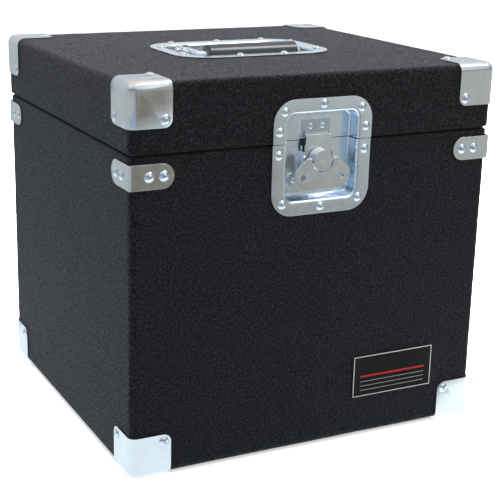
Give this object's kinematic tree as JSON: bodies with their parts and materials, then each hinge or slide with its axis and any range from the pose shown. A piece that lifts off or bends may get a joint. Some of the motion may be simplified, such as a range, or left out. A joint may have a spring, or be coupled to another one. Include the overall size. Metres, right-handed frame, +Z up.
{
  "type": "record carrying case",
  "caption": "Carpet-covered ply carrying case for 12 inch records, with a hinged lid, steel corners, a recessed butterfly latch and a recessed lifting handle.",
  "frame": {"origin": "middle of the base, on the plane that the case stands on", "axes": "+X to the right seen from the front, the front faces -Y, +Z up"},
  "size_m": [0.3886, 0.3685, 0.3785],
  "materials": {
    "plywood": "bare birch ply",
    "carpet": "needle-felt carpet",
    "foam": "soft foam sheet",
    "plated_steel": "bright zinc plated sheet",
    "rivets": "bright nickel plated",
    "rubber": "smooth black rubber",
    "name_plate": "glossy black with a silver edge"
  },
  "bodies": {
    "body": {"base_panel": "plywood", "front_panel": "plywood", "back_panel": "plywood", "left_panel": "plywood", "right_panel": "plywood", "body_carpet": "carpet", "base_carpet": "carpet", "base_pad": "foam", "corner_bottom_front_left": "plated_steel", "corner_bottom_front_right": "plated_steel", "corner_bottom_back_left": "plated_steel", "corner_bottom_back_right": "plated_steel", "bottom_corner_rivets": "rivets", "brace_front_left": "plated_steel", "brace_front_right": "plated_steel", "brace_back_left": "plated_steel", "brace_back_right": "plated_steel", "brace_rivets": "rivets", "latch_dish_lower": "plated_steel", "latch_dish_lower_rivets": "rivets", "latch_base_plate": "plated_steel", "label_plate": "name_plate", "hinge_left_body_leaf": "plated_steel", "hinge_right_body_leaf": "plated_steel", "hinge_left_pin": "rivets", "hinge_right_pin": "rivets", "hinge_body_rivets": "rivets"},
    "rotor": {"latch_rotor": "plated_steel", "rotor_retaining_ring": "rivets", "wing_pin": "rivets"},
    "wing": {"latch_wing": "plated_steel"},
    "hook": {"latch_hook": "plated_steel"},
    "lid": {"lid_top_panel": "plywood", "lid_front_panel": "plywood", "lid_back_panel": "plywood", "lid_left_panel": "plywood", "lid_right_panel": "plywood", "lid_carpet": "carpet", "lid_pad": "foam", "corner_top_front_left": "plated_steel", "corner_top_front_right": "plated_steel", "corner_top_back_left": "plated_steel", "corner_top_back_right": "plated_steel", "top_corner_rivets": "rivets", "latch_dish_upper": "plated_steel", "latch_dish_upper_rivets": "rivets", "latch_keeper": "plated_steel", "handle_dish": "plated_steel", "handle_dish_rivets": "rivets", "handle_bracket_left": "plated_steel", "handle_bracket_right": "plated_steel", "handle_bracket_rivets": "rivets", "hinge_left_lid_leaf": "plated_steel", "hinge_right_lid_leaf": "plated_steel", "hinge_lid_rivets": "rivets"},
    "handle": {"handle_bail": "plated_steel", "handle_grip": "rubber"}
  },
  "joints": [
    {"name": "lid_hinge", "type": "hinge", "parent": "body", "child": "lid", "pos_m": [0, 0.1824, 0.3054], "axis": [-1, 0, 0], "range_deg": [0, 180]},
    {"name": "latch_turn", "type": "hinge", "parent": "body", "child": "rotor", "pos_m": [0, -0.178, 0.288], "axis": [0, -1, 0], "range_deg": [0, 180]},
    {"name": "wing_fold", "type": "hinge", "parent": "rotor", "child": "wing", "pos_m": [0, -0.178, 0.288], "axis": [-1, 0, 0], "range_deg": [0, 90]},
    {"name": "hook_slide", "type": "slide", "parent": "body", "child": "hook", "axis": [0, 0, 1], "range_m": [0, 0.005]},
    {"name": "handle_lift", "type": "hinge", "parent": "lid", "child": "handle", "pos_m": [0, 0.0046, 0.368], "axis": [-1, 0, 0], "range_deg": [0, 90]}
  ],
  "couplings": [
    {"joint": "latch_turn", "follows": "hook_slide", "rad_per_m": 628.32}
  ]
}
